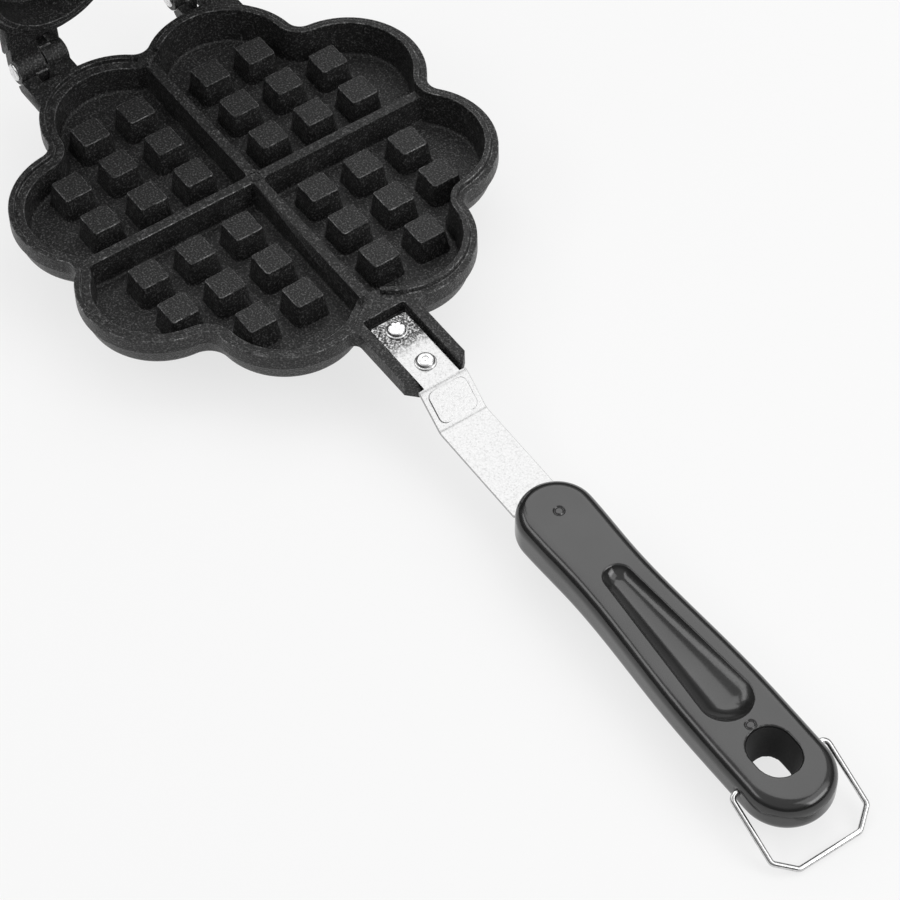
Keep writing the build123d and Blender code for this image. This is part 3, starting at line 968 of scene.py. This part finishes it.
# %% Run a tree and keep the plain mesh
def run_tree(tree, name, points, values):
    """Run a tree on a line of points and return an edit mesh with its faces outwards."""
    mesh = bpy.data.meshes.new(name)
    mesh.from_pydata(points, [(n, n + 1) for n in range(len(points) - 1)], [])
    carrier = bpy.data.objects.new(name, mesh)
    bpy.context.scene.collection.objects.link(carrier)
    modifier = carrier.modifiers.new(tree.name, "NODES")
    modifier.node_group = tree
    for item in tree.interface.items_tree:
        if item.in_out == "INPUT" and item.name in values:
            modifier[item.identifier] = values[item.name]
    edit = take_back(carrier)
    bmesh.ops.remove_doubles(edit, verts=edit.verts, dist=1e-7)
    bmesh.ops.recalc_face_normals(edit, faces=edit.faces)
    return edit


# %% [markdown]
# ## Rivets
#
# Two soft rivets hold each strap in its boss. The inner one has a button head that the peening
# tool has notched, the outer one a head with a small ring round its middle. Each head stands on
# a thin collar that was squeezed out on the strap, and each foot is a low button under the boss.
# A sphere and a cylinder would show none of that, and the outlines say it in a few points.

# %% Outlines of the heads and of the foot: radius and height in millimetres, top to bottom
BOSS_LOW = 8.0
STRAP_TOP = 12.5
collar = [(3.6, 12.88), (3.78, 12.78), (3.8, 12.65), (3.7, STRAP_TOP)]
notched_head = [
    (0, 14.1), (1.2, 14.15), (2.1, 14.25), (2.8, 14.18), (3.15, 13.95),
    (3.3, 13.5), (3.3, 13.1), (3.35, 12.95),
]
ringed_head = [
    (0, 14.15), (0.7, 14.15), (0.85, 13.95), (1.15, 13.95), (1.3, 14.2),
    (2.3, 14.25), (2.9, 14.1), (3.2, 13.7), (3.25, 13.1), (3.3, 12.95),
]
foot = [
    (2.5, STRAP_TOP), (2.5, BOSS_LOW), (4.4, BOSS_LOW), (4.5, 7.85),
    (4.5, 7.2), (4.3, 6.8), (3.9, 6.6), (0, 6.6),
]


def outline_points(outline):
    return [(radius * MM, 0, height * MM) for radius, height in outline]


print("points round a notched rivet:", len(notched_head + collar + foot))

# %% Make the rivets, flat on the lower half, and carry them to the twin
NOTCHES_START = 13.4
NOTCH_SIDE = 2.5  # radians from +X
rivets = {  # distance from the plate's middle, head, number of notches, their depth
    "inner": (87.3, notched_head, 7.0, 0.5),
    "outer": (104.3, ringed_head, 0.0, 0.0),
}
for side, place in (("lower", lower_place), ("upper", twin)):
    for name, (distance, head, notches, depth) in rivets.items():
        title = f"{side}_{name}_rivet_turned"
        sizes = {
            "Steps": 48,
            "Notches": notches,
            "Notch Depth": depth,
            "Notch Height": NOTCHES_START * MM,
            "Notch Side": NOTCH_SIDE,
            "Place": (distance * MM, 0, 0),
            "Turn": (0, 0, 0),
            "Material": rivet_metal,
        }
        edit = run_tree(turning_tree, title, outline_points(head + collar + foot), sizes)
        edit.transform(place)
        rivet = finish_piece(edit, title, rivet_metal, 50)
        hand_over(rivet, f"{side}_{name}_rivet")

# %% [markdown]
# ## Hinge pins
#
# Each hinge pin is a short steel rod with a low domed head at both ends, closed over the
# knuckles so that it can't walk out. It could be a cylinder with two domes stuck on. But it has
# one outline from end to end, so the same tree turns it, and then lays it along Y.

# %% Make the hinge pins
PIN_FIRST, PIN_LAST, PIN_RADIUS = 22.1, 42.4, 2.0
pin_head = [(0, 1.0), (1.4, 0.97), (2.3, 0.86), (2.9, 0.64), (3.25, 0.3), (3.3, 0.0)]
pin_outline = [(radius, PIN_LAST + rise) for radius, rise in pin_head]
pin_outline += [(PIN_RADIUS, PIN_LAST), (PIN_RADIUS, PIN_FIRST)]
pin_outline += [(radius, PIN_FIRST - rise) for radius, rise in reversed(pin_head)]
for side, quarter_turn in (("right", -math.pi / 2), ("left", math.pi / 2)):
    sizes = {
        "Steps": 40,
        "Place": tuple(hinge_point),
        "Turn": (quarter_turn, 0, 0),
        "Material": pin_metal,
    }
    edit = run_tree(turning_tree, f"{side}_pin_turned", outline_points(pin_outline), sizes)
    pin = finish_piece(edit, f"{side}_pin_turned", pin_metal, 50)
    hand_over(pin, f"{side}_hinge_pin")

# %% [markdown]
# ## The wire bail
#
# The bail is one length of spring wire, bent at six places. A curve object with a round bevel
# would do for one wire. As a bent wire follows a path, it is also a job for Geometry Nodes,
# where its sizes keep their names: the corners of the path become a curve, Fillet Curve rounds
# them to the bending tool's radius, and a circle is swept along.

# %% The tree that bends a wire
def make_wire_tree():
    tree, given = start_tree(
        "bent_wire", {"Wire Radius": "Float", "Bend Radius": "Float", "Material": "Material"}
    )
    path = add_node(tree, "GeometryNodeMeshToCurve", {"Mesh": given.outputs["Geometry"]})
    bent = add_node(
        tree,
        "GeometryNodeFilletCurve",
        {"Curve": path.outputs[0], "Count": 8, "Radius": given.outputs["Bend Radius"]},
        mode="POLY",
    )
    section = add_node(
        tree,
        "GeometryNodeCurvePrimitiveCircle",
        {"Resolution": 20, "Radius": given.outputs["Wire Radius"]},
    )
    swept = add_node(
        tree,
        "GeometryNodeCurveToMesh",
        {"Curve": bent.outputs[0], "Profile Curve": section.outputs[0], "Fill Caps": True},
    )
    end_tree(tree, swept.outputs[0], given.outputs["Material"])
    return tree


wire_tree = make_wire_tree()
print("nodes in the wire tree:", len(wire_tree.nodes))

# %% Where the bail hangs on the lower handle
BAIL_REST = 24.7
BAIL_HOLE = (0.1294, 0, -0.0058)  # in the handle's frame
hang = Matrix.Rotation(math.radians(BAIL_REST), 4, "Y")
bail_place = handle_place @ Matrix.Translation(BAIL_HOLE) @ hang
print("the bail hangs at", [round(value / MM, 1) for value in bail_place.translation], "mm")

# %% Bend the bail
LEG_Y, END_Y, BAR_Y = 18.7, 10.4, 11.9
LEG_LENGTH, BAR_AT = 23.9, 29.8
half_path = [(0, END_Y), (0, LEG_Y), (LEG_LENGTH, LEG_Y), (BAR_AT, BAR_Y)]
corners = [(x, -y) for x, y in half_path] + [(x, y) for x, y in reversed(half_path)]
edit = run_tree(
    wire_tree,
    "bail_wire_bent",
    [bail_place @ Vector((x * MM, y * MM, 0)) for x, y in corners],
    {"Wire Radius": 1.0 * MM, "Bend Radius": 2.2 * MM, "Material": wire_metal},
)
bail = finish_piece(edit, "bail_wire_bent", wire_metal, 50)
hand_over(bail, "wire_bail")

# %% [markdown]
# ## The floor
#
# The iron stands on a white sweep. A floor can be made white by pouring light on it, but then
# the iron gets that light too. So most of this floor's white is a glow that only the camera and
# the reflections see. The last fifth is real reflected light, and that keeps the iron's shadow.

# %% Floor
FLOOR_WHITE, GLOW_SHARE, FLOOR_REACH = 0.928, 0.8, 8.0


def make_sweep_material():
    """Diffuse white, mixed with a glow for the rays that look at the floor."""
    material = bpy.data.materials.new("white_sweep")
    material.use_nodes = True
    tree = material.node_tree
    tree.nodes.clear()
    white = (FLOOR_WHITE, FLOOR_WHITE, FLOOR_WHITE, 1)
    matt = add_node(tree, "ShaderNodeBsdfDiffuse", {"Color": white})
    glow = add_node(tree, "ShaderNodeEmission", {"Color": white, "Strength": 1.0})
    path = add_node(tree, "ShaderNodeLightPath").outputs
    seen = maths(tree, "MAXIMUM", path["Is Camera Ray"], path["Is Glossy Ray"])
    seen = maths(tree, "MAXIMUM", seen, path["Is Transmission Ray"])
    share = maths(tree, "MULTIPLY", seen, GLOW_SHARE)
    mixed = add_node(
        tree, "ShaderNodeMixShader", {0: share, 1: matt.outputs[0], 2: glow.outputs[0]}
    )
    add_node(tree, "ShaderNodeOutputMaterial", {"Surface": mixed.outputs[0]})
    return material


def make_floor(low):
    signs = ((-1, -1), (1, -1), (1, 1), (-1, 1))
    places = [(x * FLOOR_REACH, y * FLOOR_REACH, low) for x, y in signs]
    mesh = bpy.data.meshes.new("studio_floor")
    mesh.from_pydata(places, [], [(0, 1, 2, 3)])
    mesh.materials.append(make_sweep_material())
    floor = bpy.data.objects.new("studio_floor", mesh)
    bpy.context.scene.collection.objects.link(floor)


floor_height = cad_box[0][2] - 0.3 * MM
make_floor(floor_height)
print("floor at", round(floor_height / MM, 1), "mm")

# %% [markdown]
# ## The lamps
#
# Four soft panels light the iron, as softboxes do in a studio. A sun lamp would be simpler, but
# gloss and metal show the shape of what lights them, and a panel looks right in them. A large
# one overhead, a little beyond the iron, is what its flat tops mirror. One stands at the right
# and a long strip at the left, for the two sides, and a low strip at the right reaches the
# upright faces there.

# %% Soft panels
def make_panel(name, place, aim, size, radiance):
    """Rectangular lamp of a given brightness per area, facing a point."""
    data = bpy.data.lights.new(name, "AREA")
    data.shape = "RECTANGLE"
    data.size, data.size_y = size
    data.energy = radiance * math.pi * size[0] * size[1]
    lamp = bpy.data.objects.new(name, data)
    bpy.context.scene.collection.objects.link(lamp)
    lamp.location = place
    lamp.rotation_euler = (Vector(aim) - Vector(place)).to_track_quat("-Z", "Y").to_euler()
    print(name, "power", round(data.energy, 2), "W")


panels = {  # place, aim, size, radiance
    "overhead_panel": ((-0.45, 0.35, 1.15), (-0.1, 0.05, 0), (1.5, 1.2), 1.62),
    "far_panel": ((0.85, 0.5, 0.85), (0.05, 0, 0), (1.0, 0.9), 1.45),
    "edge_strip": ((-0.4, -0.75, 0.85), (0.05, 0, 0), (1.4, 0.3), 2.4),
    "low_strip": ((1.0, 0.46, 0.5), (-0.05, 0, 0), (0.7, 0.35), 3.2),
}
for name, (place, aim, size, radiance) in panels.items():
    make_panel(name, place, aim, size, radiance)

# %% [markdown]
# ## The room
#
# What no lamp fills is the room, and Blender's world stands for it. One grey would make the
# metal look flat. This room is dim near the horizon and lighter overhead: that is what draws the
# dark lines along the roundings of the handle.

# %% The dim room
world = bpy.data.worlds.new("studio_room")
bpy.context.scene.world = world
world.use_nodes = True
room = world.node_tree
direction = add_node(room, "ShaderNodeTexCoord").outputs["Generated"]
upward = add_node(room, "ShaderNodeSeparateXYZ", {"Vector": direction}).outputs["Z"]
sky = colour_bands(room, upward, (0.0, 0.05), (0.35, 0.1), (0.62, 0.55))
room.links.new(sky, room.nodes["Background"].inputs["Color"])
print("lit", world.name)
